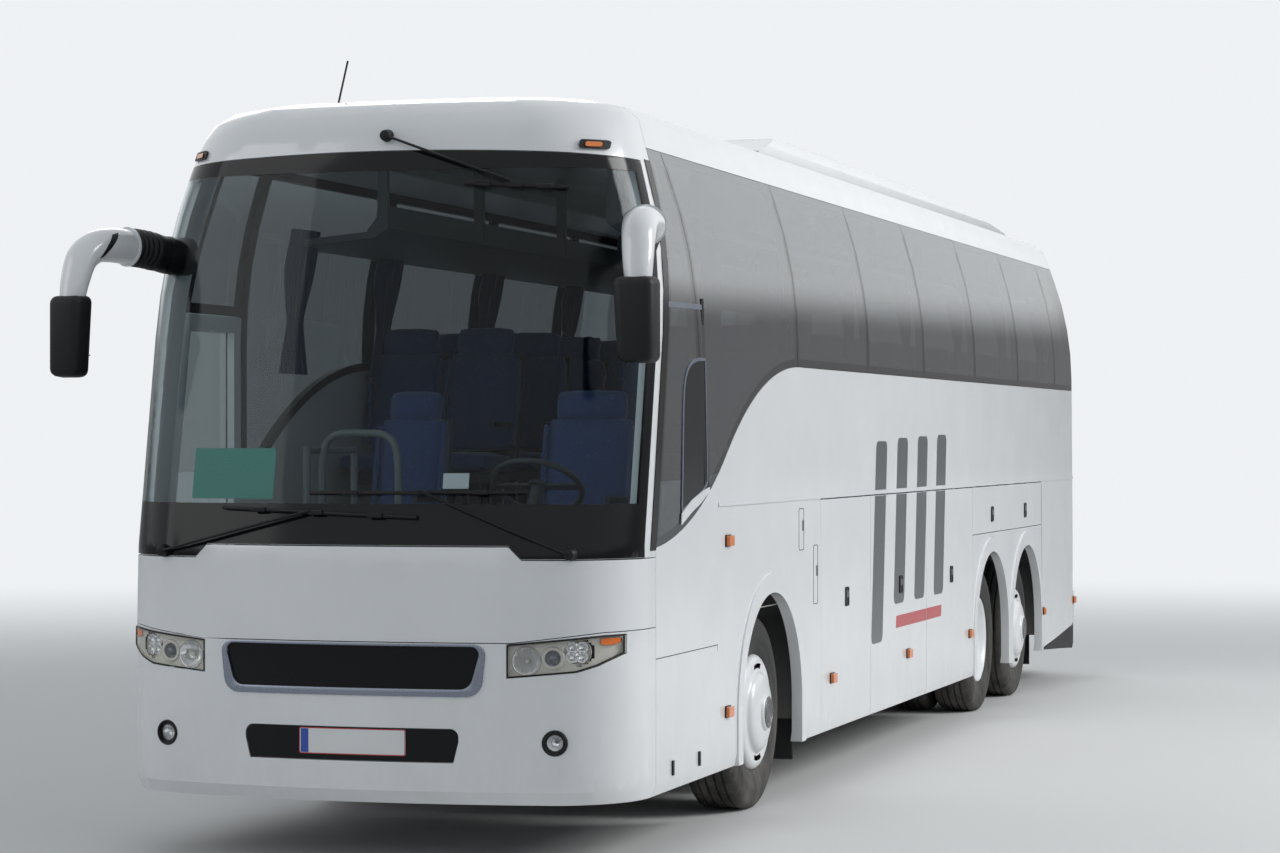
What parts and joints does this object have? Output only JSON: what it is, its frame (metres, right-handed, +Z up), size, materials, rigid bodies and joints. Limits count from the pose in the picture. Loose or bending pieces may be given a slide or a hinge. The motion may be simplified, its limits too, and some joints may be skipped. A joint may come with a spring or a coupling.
{
  "type": "coach bus",
  "caption": "Long-distance coach bus with a raised passenger deck, luggage hold, steered front wheels, twin drive wheels and a tag axle",
  "frame": {"origin": "on the ground under the middle of the whole outline", "axes": "+Z up, -Y towards the front, +X to the driver's (left) side"},
  "size_m": [2.972, 12.8, 3.8316],
  "materials": {
    "white_paint": "gloss white body paint",
    "tinted_glass": "dark tinted glass",
    "windscreen_glass": "clear laminated glass",
    "lamp_glass": "clear lamp cover",
    "orange_lamp": "orange lamp cover",
    "black_frame": "black plastic and rubber",
    "chassis_paint": "dark chassis paint",
    "underbody_sheet": "grey underbody sheet",
    "engine_iron": "cast iron",
    "floor_board": "covered floor board",
    "seat_fabric": "blue seat cloth",
    "cab_plastic": "grey moulded plastic",
    "wheel_paint": "white wheel paint",
    "tyre": "black rubber"
  },
  "bodies": {
    "body": {"axles": "chassis_paint", "cabin_fittings": "cab_plastic", "chassis_frame": "chassis_paint", "dashboard": "cab_plastic", "door_steps": "floor_board", "engine_block": "engine_iron", "floor_deck": "floor_board", "front_bumper": "white_paint", "front_cap": "white_paint", "front_grille": "black_frame", "front_panel": "white_paint", "headlamps": "lamp_glass", "mirrors": "black_frame", "rear_bumper": "white_paint", "rear_glass": "tinted_glass", "rear_guards": "black_frame", "rear_panel": "white_paint", "roof_shell": "white_paint", "roof_unit": "white_paint", "seat_backs": "seat_fabric", "seats": "seat_fabric", "side_glass": "tinted_glass", "side_wall_left": "white_paint", "side_wall_right": "white_paint", "signal_lamps": "orange_lamp", "underbody": "underbody_sheet", "whip_antenna": "black_frame", "window_frame_left": "black_frame", "window_frame_right": "black_frame", "windscreen": "windscreen_glass", "wipers": "black_frame"},
    "knuckle_left": {"knuckle_left": "chassis_paint"},
    "knuckle_right": {"knuckle_right": "chassis_paint"},
    "track_rod": {"track_rod": "chassis_paint"},
    "front_door_arms": {"door_arms": "chassis_paint"},
    "front_door": {"front_door": "white_paint", "front_door_glass": "tinted_glass"},
    "engine_hatch": {"engine_hatch": "white_paint"},
    "wheel_front_left": {"wheel_front_left": "wheel_paint", "tyre_front_left": "tyre"},
    "wheel_drive_left": {"wheel_drive_left": "wheel_paint", "tyre_drive_left": "tyre"},
    "wheel_tag_left": {"wheel_tag_left": "wheel_paint", "tyre_tag_left": "tyre"},
    "luggage_door_left_a": {"luggage_door_left_a": "white_paint"},
    "luggage_door_left_b": {"luggage_door_left_b": "white_paint"},
    "luggage_door_left_c": {"luggage_door_left_c": "white_paint"},
    "service_flap_left": {"service_flap_left": "white_paint"},
    "wheel_front_right": {"wheel_front_right": "wheel_paint", "tyre_front_right": "tyre"},
    "wheel_drive_right": {"wheel_drive_right": "wheel_paint", "tyre_drive_right": "tyre"},
    "wheel_tag_right": {"wheel_tag_right": "wheel_paint", "tyre_tag_right": "tyre"},
    "luggage_door_right_a": {"luggage_door_right_a": "white_paint"},
    "luggage_door_right_b": {"luggage_door_right_b": "white_paint"},
    "luggage_door_right_c": {"luggage_door_right_c": "white_paint"},
    "service_flap_right": {"service_flap_right": "white_paint"}
  },
  "joints": [
    {"name": "steering_left", "type": "hinge", "parent": "body", "child": "knuckle_left", "pos_m": [0.93, -3.65, 0.512], "axis": [0, 0, 1], "range_deg": [-42, 42]},
    {"name": "steering_right", "type": "hinge", "parent": "body", "child": "knuckle_right", "pos_m": [-0.93, -3.65, 0.512], "axis": [0, 0, 1], "range_deg": [-42, 42]},
    {"name": "track_rod_turn", "type": "hinge", "parent": "knuckle_left", "child": "track_rod", "pos_m": [0.93, -3.465, 0.392], "axis": [0, 0, 1], "range_deg": [-42, 42]},
    {"name": "front_door_swing", "type": "hinge", "parent": "body", "child": "front_door_arms", "pos_m": [-1.185, -5.655, 0.9], "axis": [0, 0, 1], "range_deg": [0, 90]},
    {"name": "front_door_leaf", "type": "hinge", "parent": "front_door_arms", "child": "front_door", "pos_m": [-1.185, -5.105, 0.9], "axis": [0, 0, 1], "range_deg": [-90, 0]},
    {"name": "engine_hatch_hinge", "type": "hinge", "parent": "body", "child": "engine_hatch", "pos_m": [0, 6.338, 1.652], "axis": [1, 0, 0], "range_deg": [0, 80]},
    {"name": "roll_front_left", "type": "hinge", "parent": "knuckle_left", "child": "wheel_front_left", "pos_m": [1.045, -3.65, 0.512], "axis": [1, 0, 0], "continuous": true},
    {"name": "roll_drive_left", "type": "hinge", "parent": "body", "child": "wheel_drive_left", "pos_m": [1.045, 2.55, 0.512], "axis": [1, 0, 0], "continuous": true},
    {"name": "roll_tag_left", "type": "hinge", "parent": "body", "child": "wheel_tag_left", "pos_m": [1.045, 3.95, 0.512], "axis": [1, 0, 0], "continuous": true},
    {"name": "luggage_door_left_a_hinge", "type": "hinge", "parent": "body", "child": "luggage_door_left_a", "pos_m": [1.275, 0, 1.616], "axis": [0, -1, 0], "range_deg": [0, 90]},
    {"name": "luggage_door_left_b_hinge", "type": "hinge", "parent": "body", "child": "luggage_door_left_b", "pos_m": [1.275, 0, 1.616], "axis": [0, -1, 0], "range_deg": [0, 90]},
    {"name": "luggage_door_left_c_hinge", "type": "hinge", "parent": "body", "child": "luggage_door_left_c", "pos_m": [1.275, 0, 1.616], "axis": [0, -1, 0], "range_deg": [0, 90]},
    {"name": "service_flap_left_hinge", "type": "hinge", "parent": "body", "child": "service_flap_left", "pos_m": [1.275, 0, 1.616], "axis": [0, -1, 0], "range_deg": [0, 90]},
    {"name": "roll_front_right", "type": "hinge", "parent": "knuckle_right", "child": "wheel_front_right", "pos_m": [-1.045, -3.65, 0.512], "axis": [1, 0, 0], "continuous": true},
    {"name": "roll_drive_right", "type": "hinge", "parent": "body", "child": "wheel_drive_right", "pos_m": [-1.045, 2.55, 0.512], "axis": [1, 0, 0], "continuous": true},
    {"name": "roll_tag_right", "type": "hinge", "parent": "body", "child": "wheel_tag_right", "pos_m": [-1.045, 3.95, 0.512], "axis": [1, 0, 0], "continuous": true},
    {"name": "luggage_door_right_a_hinge", "type": "hinge", "parent": "body", "child": "luggage_door_right_a", "pos_m": [-1.275, 0, 1.616], "axis": [0, 1, 0], "range_deg": [0, 90]},
    {"name": "luggage_door_right_b_hinge", "type": "hinge", "parent": "body", "child": "luggage_door_right_b", "pos_m": [-1.275, 0, 1.616], "axis": [0, 1, 0], "range_deg": [0, 90]},
    {"name": "luggage_door_right_c_hinge", "type": "hinge", "parent": "body", "child": "luggage_door_right_c", "pos_m": [-1.275, 0, 1.616], "axis": [0, 1, 0], "range_deg": [0, 90]},
    {"name": "service_flap_right_hinge", "type": "hinge", "parent": "body", "child": "service_flap_right", "pos_m": [-1.275, 0, 1.616], "axis": [0, 1, 0], "range_deg": [0, 90]}
  ],
  "couplings": [
    {"joint": "steering_right", "follows": "steering_left", "ratio": 1},
    {"joint": "track_rod_turn", "follows": "steering_left", "ratio": -1},
    {"joint": "front_door_leaf", "follows": "front_door_swing", "ratio": -1}
  ]
}
